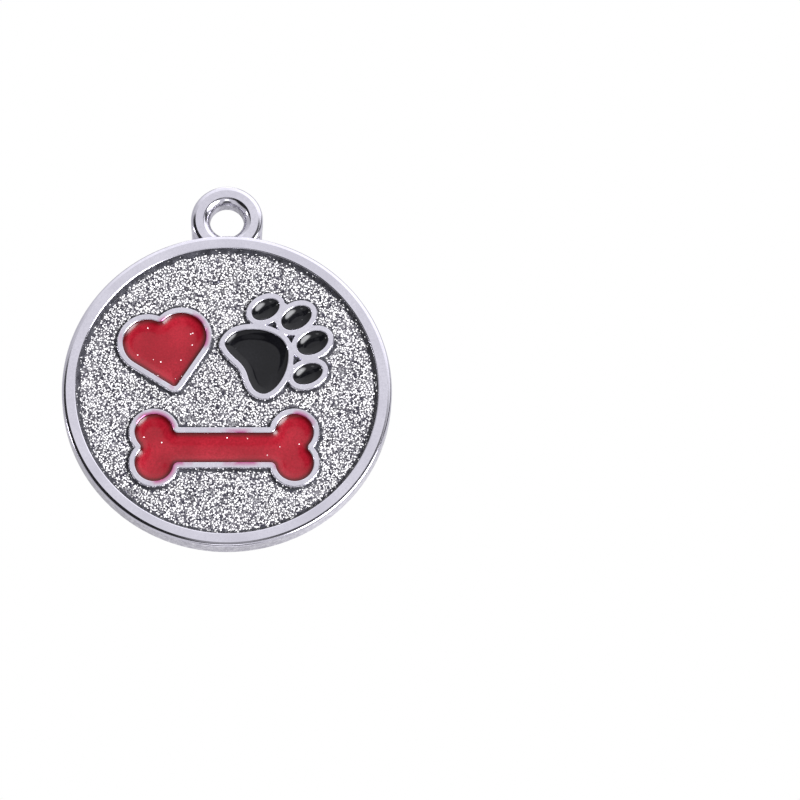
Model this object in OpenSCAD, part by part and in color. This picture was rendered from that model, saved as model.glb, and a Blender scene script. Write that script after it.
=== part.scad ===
// Round pet tag: a plated casting with a hanging loop, enamelled motifs on a
// glitter field at the front and engraved numbers at the back.
//
// The tag hangs as it is worn: the loop is up (+Z), the front looks towards -Y,
// and the centre of the ring hole is the origin.

/* [Disc] */
// Diameter of the disc
disc_d = 25; // [24:0.5:40]
// Thickness of the disc at its rim
disc_t = 1.6; // [1.5:0.1:3]
// Radius of the rim's outer edges
edge_round = 0.24; // [0.1:0.02:0.4]
// Width of the rim, from its outside to the edge of the recess
rim_w = 1.02; // [0.6:0.02:1.4]
// Width of the recess's sloping wall
wall_slope_w = 0.28; // [0.1:0.01:0.6]
// Depth of the recess, down to the glitter
recess_depth = 0.45; // [0.3:0.05:0.6]
// Thickness of the glitter resin
glitter_t = 0.4; // [0.2:0.05:0.45]

/* [Loop] */
// Diameter of the ring hole
hole_d = 2.6; // [2.4:0.1:3.4]
// Width of metal round the ring hole
loop_wall = 1.46; // [1.2:0.02:2]
// Thickness of the loop
loop_t = 1.5; // [1.2:0.05:1.6]
// Metal between the ring hole and the disc's edge
hole_gap = 0.05; // [0.04:0.01:0.6]
// Radius of the loop's outer edges
loop_round = 0.3; // [0.1:0.02:0.4]
// Radius of the hole's front edge
hole_front_round = 0.4; // [0.1:0.02:0.5]
// Radius of the hole's back edge
hole_back_round = 0.2; // [0.1:0.02:0.4]
// How far the sides of the loop's foot lie inside the loop's widest place
foot_inset = 0.06; // [0.04:0.02:0.4]
// Thickness of the foot
foot_t = 1.05; // [0.8:0.05:1.2]
// How much narrower each side of the foot is where it meets the disc
foot_taper = 0.08; // [0:0.02:0.2]

/* [Motifs] */
// Width of the raised outlines
outline_w = 0.46; // [0.3:0.02:0.5]
// How far the outlines stay below the rim
outline_drop = 0.05; // [0:0.01:0.15]
// How far the enamel stays below the outlines
enamel_drop = 0.1; // [0.04:0.01:0.2]
// Thickness of the enamel
enamel_t = 0.5; // [0.3:0.05:0.6]
// Radius of the motifs' inner corners
corner_round = 0.45; // [0.2:0.05:0.6]
// Radius of the heart's tip
tip_round = 0.25; // [0.1:0.05:0.5]
// Tilt of the heart
heart_tilt = 12; // [0:1:20]

/* [Back] */
// Depth of the engraved numbers
engrave_depth = 0.12; // [0.06:0.02:0.2]
// Width of the engraving cutter
cutter_w = 0.3; // [0.2:0.02:0.34]
// Height of the numbers in the short row
short_row_h = 2; // [1.6:0.1:2.2]
// Height of the numbers in the long rows
long_row_h = 1.8; // [1.4:0.1:2]
// Distance between the short row's numbers
short_row_pitch = 1.72; // [1.6:0.02:2]
// Distance between the long rows' numbers
long_row_pitch = 2.1; // [1.8:0.02:2.2]
// Heights of the three rows over the disc's centre
row_ys = [4.4, -0.25, -3.75];

/* [Hidden] */

disc_r = disc_d / 2;
hole_r = hole_d / 2;
loop_r = hole_r + loop_wall;
hole_rise = disc_r + hole_gap + hole_r;
// Where the loop ends inside the rim
loop_end_r = disc_r - rim_w / 2;
// Half the width of the foot at the hole and at the disc, and where its sides meet the disc
foot_top_x = loop_r - foot_inset;
foot_x = foot_top_x - foot_taper;
foot_y = sqrt(pow(disc_r, 2) - pow(foot_x, 2));
recess_r = disc_r - rim_w;
glitter_z = disc_t - recess_depth;
floor_z = glitter_z - glitter_t;
glitter_r = recess_r - wall_slope_w;
outline_z = disc_t - outline_drop;
enamel_z = outline_z - enamel_drop;
cell_z = enamel_z - enamel_t;
// Middle of the hole's straight wall, where the origin lies
hole_mid_z = (hole_back_round + loop_t - hole_front_round) / 2;
// Overrun of the cuts
cut = 0.1;

// Motifs: places and sizes as shares of the glitter field's radius
pad_w_share = 0.4215;
pad_at_shares = [0.202, 0.197];
heart_w_share = 0.565;
heart_at_shares = [-0.404, 0.272];
bone_l_share = 1.202;
bone_at_shares = [-0.018, -0.413];
knob_r_share = 0.1274;
shaft_w_share = 0.2063;
pad_w = glitter_r * pad_w_share;
pad_at = glitter_r * pad_at_shares;
heart_w = glitter_r * heart_w_share;
heart_at = glitter_r * heart_at_shares;
bone_l = glitter_r * bone_l_share;
bone_at = glitter_r * bone_at_shares;
knob_r = glitter_r * knob_r_share;
shaft_w = glitter_r * shaft_w_share;

// Pad: points round its outline from the left tip, as shares of its width
pad_shares = [[-0.5, 0.34], [-0.36, 0.5], [-0.12, 0.56], [0.16, 0.53], [0.38, 0.41], [0.49, 0.22],
              [0.49, -0.02], [0.42, -0.24], [0.29, -0.43], [0.13, -0.53], [-0.02, -0.48],
              [-0.11, -0.33], [-0.17, -0.15], [-0.25, -0.02], [-0.37, 0.1], [-0.47, 0.22]];
// Points between two points of the pad's outline
pad_steps = 4;

// Toes: bearing from the pad's middle, tilt, and reach, length and width as shares of the
// pad's width
toe_bearings = [81, 50, 20.5, -13.5];
toe_tilts = [32, 34, 29, 25];
toe_reach_shares = [0.919, 0.996, 0.957, 0.843];
toe_l_shares = [0.471, 0.518, 0.523, 0.487];
toe_w_shares = [0.309, 0.351, 0.361, 0.314];

// Heart: radius of its two lobes as a share of its width
lobe_share = 0.29289;
lobe_r = heart_w * lobe_share;

// Bone: half the distance between two knobs of one end, as a share of their radius
knob_spread_share = 0.86;
knob_x = bone_l / 2 - knob_r;
knob_y = knob_r * knob_spread_share;

// Numbers: the rows' digits
rows = [[1, 2, 3, 4, 5], [for (n = [0:9]) n], [for (n = [0:9]) 9 - n]];
row_hs = [short_row_h, long_row_h, long_row_h];
row_pitches = [short_row_pitch, long_row_pitch, long_row_pitch];
// Degrees between two points of an arc, and of the cutter's round end
arc_step = 15;
end_step = 45;

// Smooth closed curve through the points of an outline
function smooth_point(a, b, c, d, t) =
    (2 * b + (c - a) * t + (2 * a - 5 * b + 4 * c - d) * t * t
     + (3 * b - a - 3 * c + d) * t * t * t) / 2;
function smooth(pts, steps) =
    let (n = len(pts))
    [for (i = [0:n - 1], k = [0:steps - 1])
        smooth_point(pts[(i + n - 1) % n], pts[i], pts[(i + 1) % n], pts[(i + 2) % n], k / steps)];

// Points along an arc
function arc(at, r, from, to) =
    let (n = ceil(abs(to - from) / arc_step))
    [for (i = [0:n]) let (a = from + (to - from) * i / n) at + r * [cos(a), sin(a)]];

// Digits: centre lines of the cutter, for a number of height h
function bowl_r(h) = (h - cutter_w) / 4;
function low_y(h) = cutter_w / 2 + bowl_r(h);
function high_y(h) = h - low_y(h);
function digit_paths(n, h) =
    let (r = bowl_r(h), lo = low_y(h), hi = high_y(h), base = cutter_w / 2, top = h - base,
         low = [0, lo], high = [0, hi])
    n == 0 ? [concat(arc(high, r, 0, 180), [[-r, lo]]), concat(arc(low, r, 180, 360), [[r, hi]])]
    : n == 1 ? [[[0, base], [0, top]], [[0, top], [-r, hi]]]
    : n == 2 ? [concat(arc(high, r, 180, -45), [[-r, base]]), [[-r, base], [r, base]]]
    : n == 3 ? [arc(high, r, 160, -90), arc(low, r, 90, -160)]
    : n == 4 ? [[[r / 2, base], [r / 2, top]], [[r / 2, top], [-r, lo]], [[-r, lo], [r, lo]]]
    : n == 5 ? [[[r, top], [-r, top]], [[-r, top], [-r, h / 2]],
                concat([[-r, h / 2]], arc(low, r, 90, -160))]
    : n == 6 ? [arc(low, r, 0, 180), arc(low, r, 180, 360),
                concat([[-r, lo]], arc(high, r, 180, 20))]
    : n == 7 ? [[[-r, top], [r, top]], [[r, top], [-r / 2, base]]]
    : n == 8 ? [arc(high, r, -90, 90), arc(high, r, 90, 270),
                arc(low, r, -90, 90), arc(low, r, 90, 270)]
    : [arc(high, r, 0, 180), arc(high, r, 180, 360), concat([[r, hi]], arc(low, r, 0, -160))];

// Outline of a stroke that follows a path and has round ends
function unit(v) = v / norm(v);
function ahead(path, i) =
    unit(path[min(i + 1, len(path) - 1)] - path[max(i - 1, 0)]);
function side(path, i) = let (t = ahead(path, i)) [-t[1], t[0]] * cutter_w / 2;
function round_end(at, t, sign) =
    [for (a = [end_step:end_step:180 - end_step])
        at + sign * (t * sin(a) + [-t[1], t[0]] * -cos(a)) * cutter_w / 2];
function stroke(path) =
    let (n = len(path))
    concat([for (i = [0:n - 1]) path[i] - side(path, i)],
           round_end(path[n - 1], ahead(path, n - 1), 1),
           [for (i = [n - 1:-1:0]) path[i] + side(path, i)],
           round_end(path[0], ahead(path, 0), -1));

// From the flat drawing, with its front up, to the hanging tag
module hang() {
    rotate([90, 0, 0])
        translate([0, -hole_rise, -hole_mid_z])
            children();
}

// Section of the disc: rim, recess and rounded edges
module disc_section() {
    polygon([[0, 0], [disc_r - edge_round, 0], [disc_r - edge_round, disc_t],
             [recess_r, disc_t], [glitter_r, glitter_z], [glitter_r, floor_z], [0, floor_z]]);
    translate([disc_r - 2 * edge_round, edge_round])
        square([2 * edge_round, disc_t - 2 * edge_round]);
    for (z = [edge_round, disc_t - edge_round])
        translate([disc_r - edge_round, z])
            circle(r = edge_round, $fn = 32);
}

// Section of the loop: a ring with rounded edges
module loop_section() {
    difference() {
        union() {
            translate([hole_r, 0])
                square([loop_wall - loop_round, loop_t]);
            translate([hole_r, loop_round])
                square([loop_wall, loop_t - 2 * loop_round]);
            for (z = [loop_round, loop_t - loop_round])
                translate([loop_r - loop_round, z])
                    circle(r = loop_round, $fn = 32);
        }
        hole_edge(hole_front_round, loop_t, 1);
        hole_edge(hole_back_round, 0, -1);
    }
}

// Cutter that leaves a rounded edge at the hole's end at height z
module hole_edge(r, z, side) {
    difference() {
        translate([hole_r - cut, side > 0 ? z - r : z - cut])
            square([r + cut, r + cut]);
        translate([hole_r + r, z - side * r])
            circle(r = r, $fn = 32);
    }
}

module loop_ring() {
    translate([0, hole_rise, 0])
        rotate_extrude($fn = 96)
            loop_section();
}

// Foot that carries the loop on the disc's edge, ended inside the disc
module loop_foot() {
    difference() {
        linear_extrude(foot_t)
            polygon([[foot_top_x, hole_rise], [foot_x, foot_y], [foot_x, foot_y - rim_w],
                     [-foot_x, foot_y - rim_w], [-foot_x, foot_y], [-foot_top_x, hole_rise]]);
        translate([0, hole_rise, -cut])
            cylinder(r = hole_r + loop_wall / 2, h = foot_t + 2 * cut, $fn = 96);
    }
}

// The hanging loop, ended inside the rim
module loop() {
    difference() {
        union() {
            loop_ring();
            loop_foot();
        }
        translate([0, 0, -cut])
            cylinder(r = loop_end_r, h = disc_t + loop_t, $fn = 180);
    }
}

// Shapes of the motifs' cells
module pad_shape() {
    translate(pad_at)
        polygon(smooth(pad_w * pad_shares, pad_steps));
}

function toe_place(i) =
    pad_at + pad_w * toe_reach_shares[i] * [cos(toe_bearings[i]), sin(toe_bearings[i])];

module toe_shape(i) {
    translate(toe_place(i))
        rotate(toe_tilts[i])
            scale([pad_w * toe_l_shares[i], pad_w * toe_w_shares[i]])
                circle(d = 1, $fn = 36);
}

// Heart: two lobes, the rounded notch between them and the rounded tip
function heart_points() =
    let (x = lobe_r / sqrt(2), rise = sqrt(pow(lobe_r + corner_round, 2) - x * x),
         a = atan2(rise, -x))
    concat(arc([x, x], lobe_r, -45, a), arc([0, x + rise], corner_round, a - 180, -a),
           arc([-x, x], lobe_r, 180 - a, 225),
           arc([0, (tip_round - lobe_r) * sqrt(2)], tip_round, 225, 315));

module heart_shape() {
    translate(heart_at)
        rotate(heart_tilt)
            translate([0, -lobe_r * (1 - 1 / sqrt(2)) / 2])
                polygon(heart_points());
}

// Bone: a knob, with the rounded corners towards the other knob and the shaft
function knob_points() =
    let (reach = knob_r + corner_round, run = sqrt(reach * reach - knob_y * knob_y),
         a = atan2(knob_y, run), drop = shaft_w / 2 + corner_round - knob_y,
         back = sqrt(reach * reach - drop * drop), b = atan2(drop, -back))
    concat(arc([knob_x + run, 0], corner_round, 180, 180 - a), arc([knob_x, knob_y], knob_r, -a, b),
           arc([knob_x - back, shaft_w / 2 + corner_round], corner_round, b - 180, -90));

module bone_shape() {
    quarter = knob_points();
    half = concat(quarter, [for (i = [len(quarter) - 1:-1:1]) [-quarter[i][0], quarter[i][1]]]);
    translate(bone_at)
        polygon(concat(half, -half));
}

// Everything that the outlines enclose
module outlined() {
    offset(r = outline_w, $fn = 32) {
        pad_shape();
        for (i = [0:3])
            toe_shape(i);
        heart_shape();
        bone_shape();
    }
}

// Floor of the gaps between the toes and the pad
module paw_web() {
    offset(r = outline_w, $fn = 32)
        polygon(concat([pad_at], [for (i = [0:3]) toe_place(i)]));
}

module cells() {
    pad_shape();
    for (i = [0:3])
        toe_shape(i);
    heart_shape();
    bone_shape();
}

// One row of numbers, read from the back
module row_shape(i) {
    n = len(rows[i]);
    mirror([1, 0])
        for (k = [0:n - 1])
            translate([(k - (n - 1) / 2) * row_pitches[i], row_ys[i]])
                for (path = digit_paths(rows[i][k], row_hs[i]))
                    polygon(stroke(path));
}

module tag_body() {
    color([0.84, 0.83, 0.88])
        hang()
            difference() {
                union() {
                    rotate_extrude($fn = 180)
                        disc_section();
                    loop();
                    translate([0, 0, floor_z])
                        linear_extrude(outline_z - floor_z)
                            outlined();
                    translate([0, 0, floor_z])
                        linear_extrude(glitter_z - floor_z)
                            paw_web();
                }
                translate([0, 0, cell_z])
                    linear_extrude(disc_t - cell_z)
                        cells();
                for (i = [0:2])
                    translate([0, 0, -cut])
                        linear_extrude(engrave_depth + cut)
                            row_shape(i);
            }
}

module glitter_field() {
    color([0.62, 0.62, 0.65])
        hang()
            translate([0, 0, floor_z])
                difference() {
                    cylinder(r = glitter_r, h = glitter_t, $fn = 180);
                    translate([0, 0, -cut])
                        linear_extrude(glitter_t + 2 * cut) {
                            outlined();
                            paw_web();
                        }
                }
}

// Enamel in one cell
module enamel() {
    hang()
        translate([0, 0, cell_z])
            linear_extrude(enamel_t)
                children();
}

module pad_fill() {
    color([0.16, 0.16, 0.18])
        enamel()
            pad_shape();
}

module toe_fill(i) {
    color([0.16, 0.16, 0.18])
        enamel()
            toe_shape(i);
}

module heart_fill() {
    color([0.8, 0.13, 0.17])
        enamel()
            heart_shape();
}

module bone_fill() {
    color([0.8, 0.13, 0.17])
        enamel()
            bone_shape();
}

module number_row(i) {
    color([0.08, 0.08, 0.09])
        hang()
            linear_extrude(engrave_depth)
                row_shape(i);
}

tag_body();
glitter_field();
pad_fill();
toe_fill(0);  // toe_fill_1
toe_fill(1);  // toe_fill_2
toe_fill(2);  // toe_fill_3
toe_fill(3);  // toe_fill_4
heart_fill();
bone_fill();
number_row(0);  // number_row_1
number_row(1);  // number_row_2
number_row(2);  // number_row_3
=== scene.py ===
"""Looks of a round enamelled pet tag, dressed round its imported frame.

The tag hangs with its loop up and its front towards -Y. Every surface here is worked out
in the drawing of the casting: u runs to the right and v up from the disc's centre, and h
is the height over the plain back.
"""

import logging
import math
from dataclasses import dataclass, field
from enum import Enum

import bpy
import numpy as np
from mathutils import Matrix, Vector


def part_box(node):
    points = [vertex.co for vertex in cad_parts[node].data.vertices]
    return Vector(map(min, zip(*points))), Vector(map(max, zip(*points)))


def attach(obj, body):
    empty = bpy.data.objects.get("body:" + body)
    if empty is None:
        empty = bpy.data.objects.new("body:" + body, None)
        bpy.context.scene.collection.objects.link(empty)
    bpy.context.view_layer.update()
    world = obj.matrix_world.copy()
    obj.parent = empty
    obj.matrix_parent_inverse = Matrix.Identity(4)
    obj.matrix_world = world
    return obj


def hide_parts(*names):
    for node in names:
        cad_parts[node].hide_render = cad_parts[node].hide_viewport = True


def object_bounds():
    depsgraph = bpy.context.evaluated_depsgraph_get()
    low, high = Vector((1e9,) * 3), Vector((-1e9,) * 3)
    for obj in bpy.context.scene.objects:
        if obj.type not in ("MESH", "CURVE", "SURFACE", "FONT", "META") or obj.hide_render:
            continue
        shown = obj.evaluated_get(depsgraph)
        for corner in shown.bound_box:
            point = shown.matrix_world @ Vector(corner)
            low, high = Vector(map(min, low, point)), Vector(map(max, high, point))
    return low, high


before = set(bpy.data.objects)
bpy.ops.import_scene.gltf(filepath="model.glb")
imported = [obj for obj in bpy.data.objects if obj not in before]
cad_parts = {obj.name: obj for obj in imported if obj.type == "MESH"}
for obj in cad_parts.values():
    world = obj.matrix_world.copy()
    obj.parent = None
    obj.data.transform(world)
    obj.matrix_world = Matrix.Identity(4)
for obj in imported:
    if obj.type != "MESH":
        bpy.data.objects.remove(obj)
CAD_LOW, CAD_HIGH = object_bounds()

MM = 0.001
LOG = logging.getLogger("pet_tag")
Colour = tuple[float, float, float]
Socket = bpy.types.NodeSocket
# Points that are handled at once where each is set against a whole curve.
BATCH = 4000
# Distance of a flat side's last point from an arc, as a share of the arc's radius.
GUARD_SHARE = 0.25
# Angle between faces from which their edge shades sharp.
SHARP_ANGLE = math.radians(50)
# Places of a Mix node's two colours among its inputs, which share their names.
MIX_COLOURS = (6, 7)
# How finely the noise of each layer of the shared unevenness is broken up.
NOISE_DETAILS = (("Wave", 1.5), ("Grain", 3.0))


# Surfaces


@dataclass(frozen=True)
class Surface:
    """Points of a shell and its four and three-cornered faces and flat polygons."""

    points: np.ndarray
    quads: np.ndarray
    triangles: np.ndarray = field(default_factory=lambda: np.zeros((0, 3), int))
    caps: tuple[np.ndarray, ...] = ()

    def outward(self) -> "Surface":
        """Turn the shell's faces outwards, by the sign of its volume.

        Returns:
            The shell, its faces reversed where the volume was negative.
        """
        fans = [np.column_stack([np.full(len(c) - 2, c[0]), c[1:-1], c[2:]]) for c in self.caps]
        halves = [self.quads[:, [0, 1, 2]], self.quads[:, [0, 2, 3]], self.triangles, *fans]
        a, b, c = (self.points[np.vstack(halves)[:, k]] for k in range(3))
        if np.einsum("ij,ij->", a, np.cross(b, c)) >= 0:
            return self
        caps = tuple(cap[::-1] for cap in self.caps)
        return Surface(self.points, self.quads[:, ::-1], self.triangles[:, ::-1], caps)


def grid_faces(rows: int, cols: int, wrap_rows: bool, wrap_cols: bool) -> np.ndarray:
    """Number the quads of a grid of points, row by row.

    Args:
        rows: Points down the grid.
        cols: Points along the grid.
        wrap_rows: Whether the last row joins the first.
        wrap_cols: Whether the last column joins the first.

    Returns:
        One row of four point numbers for each quad.
    """
    i = np.arange(rows if wrap_rows else rows - 1)[:, None]
    j = np.arange(cols if wrap_cols else cols - 1)[None, :]
    i2, j2 = (i + 1) % rows, (j + 1) % cols
    corners = [i * cols + j, i * cols + j2, i2 * cols + j2, i2 * cols + j]
    return np.stack(np.broadcast_arrays(*corners), axis=-1).reshape(-1, 4)


def rounded_profile(
    corners: list[tuple[float, float, float]], closed: bool, steps: int = 7
) -> np.ndarray:
    """Round the corners of a section.

    Each corner gives way to an arc that touches both of its sides, and a side keeps a
    point close to each arc so that flat stretches shade flat.

    Args:
        corners: Place across, height and radius of each corner, in order.
        closed: Whether the section is a ring.
        steps: Pieces in each arc.

    Returns:
        The section's points, two numbers each.
    """
    count, out = len(corners), []
    for i, (across, height, radius) in enumerate(corners):
        at = np.array([across, height])
        if radius <= 0 or (not closed and i in (0, count - 1)):
            out.append(at[None])
            continue
        before, after = np.array(corners[i - 1][:2]) - at, np.array(corners[(i + 1) % count][:2]) - at
        before, after = before / np.linalg.norm(before), after / np.linalg.norm(after)
        half = math.acos(np.clip(before @ after, -1, 1)) / 2
        run = radius / math.tan(half)
        middle = at + (before + after) / np.linalg.norm(before + after) * radius / math.sin(half)
        start, end = at + before * run - middle, at + after * run - middle
        turn = math.pi - 2 * half
        t = np.linspace(0, 1, steps + 1)[:, None]
        arc = middle + (np.sin((1 - t) * turn) * start + np.sin(t * turn) * end) / math.sin(turn)
        guard = radius * GUARD_SHARE
        out.append(np.vstack([arc[:1] + before * guard, arc, arc[-1:] + after * guard]))
    return np.vstack(out)


def even_curve(points: np.ndarray, count: int) -> np.ndarray:
    """Space points evenly by length round a closed curve.

    Args:
        points: The curve's corners, without a repeated end.
        count: Points wanted.

    Returns:
        That many points, two numbers each.
    """
    ring = np.vstack([points, points[:1]])
    reach = np.concatenate([[0], np.cumsum(np.linalg.norm(np.diff(ring, axis=0), axis=1))])
    at = np.linspace(0, reach[-1], count, endpoint=False)
    return np.column_stack([np.interp(at, reach, ring[:, k]) for k in range(2)])


def outward_normals(curve: np.ndarray) -> np.ndarray:
    """Work out the unit normals of a closed curve from central differences.

    Args:
        curve: The curve's points, counter-clockwise.

    Returns:
        One normal for each point, pointing outwards.
    """
    along = np.roll(curve, -1, axis=0) - np.roll(curve, 1, axis=0)
    normals = np.column_stack([along[:, 1], -along[:, 0]])
    return normals / np.linalg.norm(normals, axis=1)[:, None]


def grown(curve: np.ndarray, by: np.ndarray | float) -> np.ndarray:
    """Move a closed curve outwards, along its normals, by a distance at each point."""
    return curve + outward_normals(curve) * np.broadcast_to(by, len(curve))[:, None]


def arc(
    at: tuple[float, float], radius: float, start: float, end: float, step: float = 2.0
) -> np.ndarray:
    """Return points along an arc, the centre plus the radius at even angles.

    Args:
        at: The centre.
        radius: The radius.
        start: First angle in degrees.
        end: Last angle in degrees.
        step: Degrees between points, fewer on a short arc.

    Returns:
        The points, two numbers each.
    """
    least = 8
    a = np.radians(np.linspace(start, end, max(least, int(abs(end - start) / step))))
    return np.array(at) + radius * np.column_stack([np.cos(a), np.sin(a)])


def capped(grid: np.ndarray) -> Surface:
    """Close a grid of points round its columns and cap its first and last rows flat.

    Args:
        grid: Points in rows and columns, x, y and z last.

    Returns:
        The closed shell.
    """
    rows, cols = grid.shape[:2]
    first = np.arange(cols)
    caps = (first[::-1], first + (rows - 1) * cols)
    return Surface(grid.reshape(-1, 3), grid_faces(rows, cols, False, True), caps=caps).outward()


def distance_to(points: np.ndarray, curve: np.ndarray) -> np.ndarray:
    """Return each point's distance to the nearest point of a finely spaced curve."""
    parts = np.array_split(points, max(1, len(points) // BATCH))
    return np.concatenate(
        [np.sqrt(((p[:, None] - curve[None]) ** 2).sum(-1)).min(1) for p in parts]
    )


def inside(points: np.ndarray, curve: np.ndarray) -> np.ndarray:
    """Say which points lie inside a closed curve, by the sides that a ray to +u crosses.

    Args:
        points: Places in the drawing.
        curve: The curve's points.

    Returns:
        True for each point inside.
    """
    a, b = curve, np.roll(curve, -1, axis=0)
    crossed = np.zeros(len(points), bool)
    for part in np.array_split(np.arange(len(points)), max(1, len(points) // BATCH)):
        p = points[part][:, None]
        spans = (a[None, :, 1] > p[..., 1]) != (b[None, :, 1] > p[..., 1])
        slope = (b[:, 0] - a[:, 0]) / np.where(b[:, 1] == a[:, 1], 1, b[:, 1] - a[:, 1])
        cross_u = a[None, :, 0] + slope[None] * (p[..., 1] - a[None, :, 1])
        crossed[part] = ((spans & (p[..., 0] < cross_u)).sum(1) % 2).astype(bool)
    return crossed


# The drawing and what carries it


@dataclass(frozen=True)
class Drawing:
    """Sizes of the casting that the frame gives, and the way from the drawing to the tag."""

    disc_r: float
    centre_z: float
    back_y: float
    thickness: float
    loop_r: float
    glitter_r: float
    glitter_h: float
    enamel_h: float

    @classmethod
    def from_frame(cls) -> "Drawing":
        """Read the sizes off the boxes of the frame's nodes.

        Returns:
            The drawing.
        """
        low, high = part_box("tag_body")
        glitter_low, glitter_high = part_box("glitter_field")
        disc_r = (high.x - low.x) / 2
        return cls(
            disc_r=disc_r,
            centre_z=low.z + disc_r,
            back_y=high.y,
            thickness=high.y - low.y,
            loop_r=high.z,
            glitter_r=(glitter_high.x - glitter_low.x) / 2,
            glitter_h=high.y - glitter_low.y,
            enamel_h=high.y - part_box("heart_fill")[0].y,
        )

    def place(self, flat: np.ndarray, height: np.ndarray | float) -> np.ndarray:
        """Carry places u and v, at heights over the back, to the hanging tag's x, y and z."""
        u, v, h = np.broadcast_arrays(flat[..., 0], flat[..., 1], height)
        return np.stack([u, self.back_y - h, self.centre_z + v], axis=-1)


def swept(
    draw: Drawing, curve: np.ndarray, profile: np.ndarray, spread: np.ndarray | float = 0
) -> Surface:
    """Carry a closed section round a closed curve.

    A point of the section at distance a stands a outside the curve, along its normal, at
    the section's height. The outer half of the section stands further out by the spread.

    Args:
        draw: The drawing.
        curve: The curve's points.
        profile: Distance outside the curve and height of each point of the section.
        spread: How much wider the section is at each point of the curve.

    Returns:
        The closed tube.
    """
    outer = profile[:, 0] > profile[:, 0].mean()
    across = profile[None, :, 0] + outer[None] * np.broadcast_to(spread, len(curve))[:, None]
    flat = curve[:, None] + outward_normals(curve)[:, None] * across[..., None]
    points = draw.place(flat, profile[None, :, 1])
    faces = grid_faces(len(curve), len(profile), True, True)
    return Surface(points.reshape(-1, 3), faces).outward()


def turned(
    draw: Drawing,
    profile: np.ndarray,
    count: int,
    centre: tuple[float, float] = (0, 0),
    floor_v: float = -math.inf,
) -> Surface:
    """Turn a section about an axis along h.

    A point at radius r and angle a stands at the centre plus r cos a and r sin a. What
    would hang below floor_v stays on it. A radius of zero at both ends closes the poles.

    Args:
        draw: The drawing.
        profile: Radius and height of the section's points.
        count: Points round the axis.
        centre: Place of the axis.
        floor_v: Lowest place that a point may take.

    Returns:
        The closed shell.
    """
    a = np.linspace(0, 2 * math.pi, count, endpoint=False)
    ring = np.stack([np.cos(a), np.sin(a)], axis=-1)
    poled = bool(profile[0, 0] == 0 and profile[-1, 0] == 0)
    body = profile[1:-1] if poled else profile
    flat = np.array(centre) + body[:, None, :1] * ring[None]
    flat[..., 1] = np.maximum(flat[..., 1], floor_v)
    points = draw.place(flat, body[:, None, 1]).reshape(-1, 3)
    quads = grid_faces(len(body), count, not poled, True)
    if not poled:
        return Surface(points, quads).outward()
    poles = draw.place(np.array([centre, centre]), profile[[0, -1], 1])
    first, last = np.arange(count), np.arange(count) + (len(body) - 1) * count
    low, high = np.full(count, len(points)), np.full(count, len(points) + 1)
    triangles = np.vstack(
        [
            np.column_stack([low, np.roll(first, -1), first]),
            np.column_stack([high, last, np.roll(last, -1)]),
        ]
    )
    return Surface(np.vstack([points, poles]), quads, triangles).outward()


# Outlines of the motifs


class Motif(Enum):
    """The cells of the front, by the node that each one's fill replaces."""

    PAD = "pad_fill"
    TOE_1 = "toe_fill_1"
    TOE_2 = "toe_fill_2"
    TOE_3 = "toe_fill_3"
    TOE_4 = "toe_fill_4"
    HEART = "heart_fill"
    BONE = "bone_fill"

    @property
    def is_red(self) -> bool:
        """Say whether the cell holds red enamel, and black if not."""
        return self in (Motif.HEART, Motif.BONE)

    @property
    def toe(self) -> int:
        """Return a toe's place in the paw's lists."""
        return int(self.value[-1]) - 1


@dataclass(frozen=True)
class OnField:
    """A motif whose width and middle are shares of the glitter field's radius."""

    field_r: float
    width_share: float
    at_shares: tuple[float, float]

    @property
    def width(self) -> float:
        """Return the motif's width."""
        return self.field_r * self.width_share

    @property
    def at(self) -> np.ndarray:
        """Return the motif's middle."""
        return self.field_r * np.array(self.at_shares)


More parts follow.
